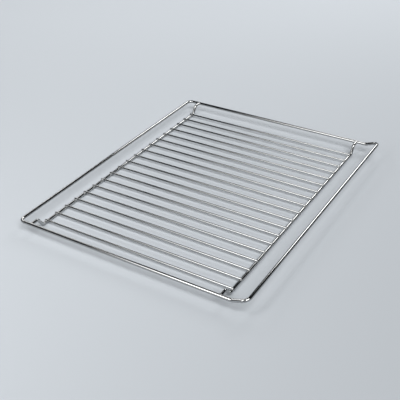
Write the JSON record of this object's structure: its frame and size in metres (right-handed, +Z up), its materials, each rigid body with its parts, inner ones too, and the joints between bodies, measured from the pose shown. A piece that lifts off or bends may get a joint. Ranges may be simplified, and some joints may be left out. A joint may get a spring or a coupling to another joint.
{
  "type": "oven shelf rack",
  "caption": "Wire shelf for a built-in oven: a rounded rectangular wire frame with a raised rear end, stepped cross rails and a grid of thin wires welded across them.",
  "frame": {"origin": "under the middle of the rack, on the surface that its rails rest on", "axes": "+X across the oven to the right, +Y to the oven's back wall and the raised end, +Z up"},
  "size_m": [0.465, 0.3734, 0.0254],
  "materials": {
    "chrome_wire": "bright plate on drawn steel wire"
  },
  "bodies": {
    "root": {"outer_frame": "chrome_wire", "front_rail": "chrome_wire", "rear_rail": "chrome_wire", "grid_wire_01": "chrome_wire", "grid_wire_02": "chrome_wire", "grid_wire_03": "chrome_wire", "grid_wire_04": "chrome_wire", "grid_wire_05": "chrome_wire", "grid_wire_06": "chrome_wire", "grid_wire_07": "chrome_wire", "grid_wire_08": "chrome_wire", "grid_wire_09": "chrome_wire", "grid_wire_10": "chrome_wire", "grid_wire_11": "chrome_wire", "grid_wire_12": "chrome_wire", "grid_wire_13": "chrome_wire", "grid_wire_14": "chrome_wire", "grid_wire_15": "chrome_wire", "grid_wire_16": "chrome_wire", "grid_wire_17": "chrome_wire", "grid_wire_18": "chrome_wire", "grid_wire_19": "chrome_wire"}
  },
  "joints": []
}
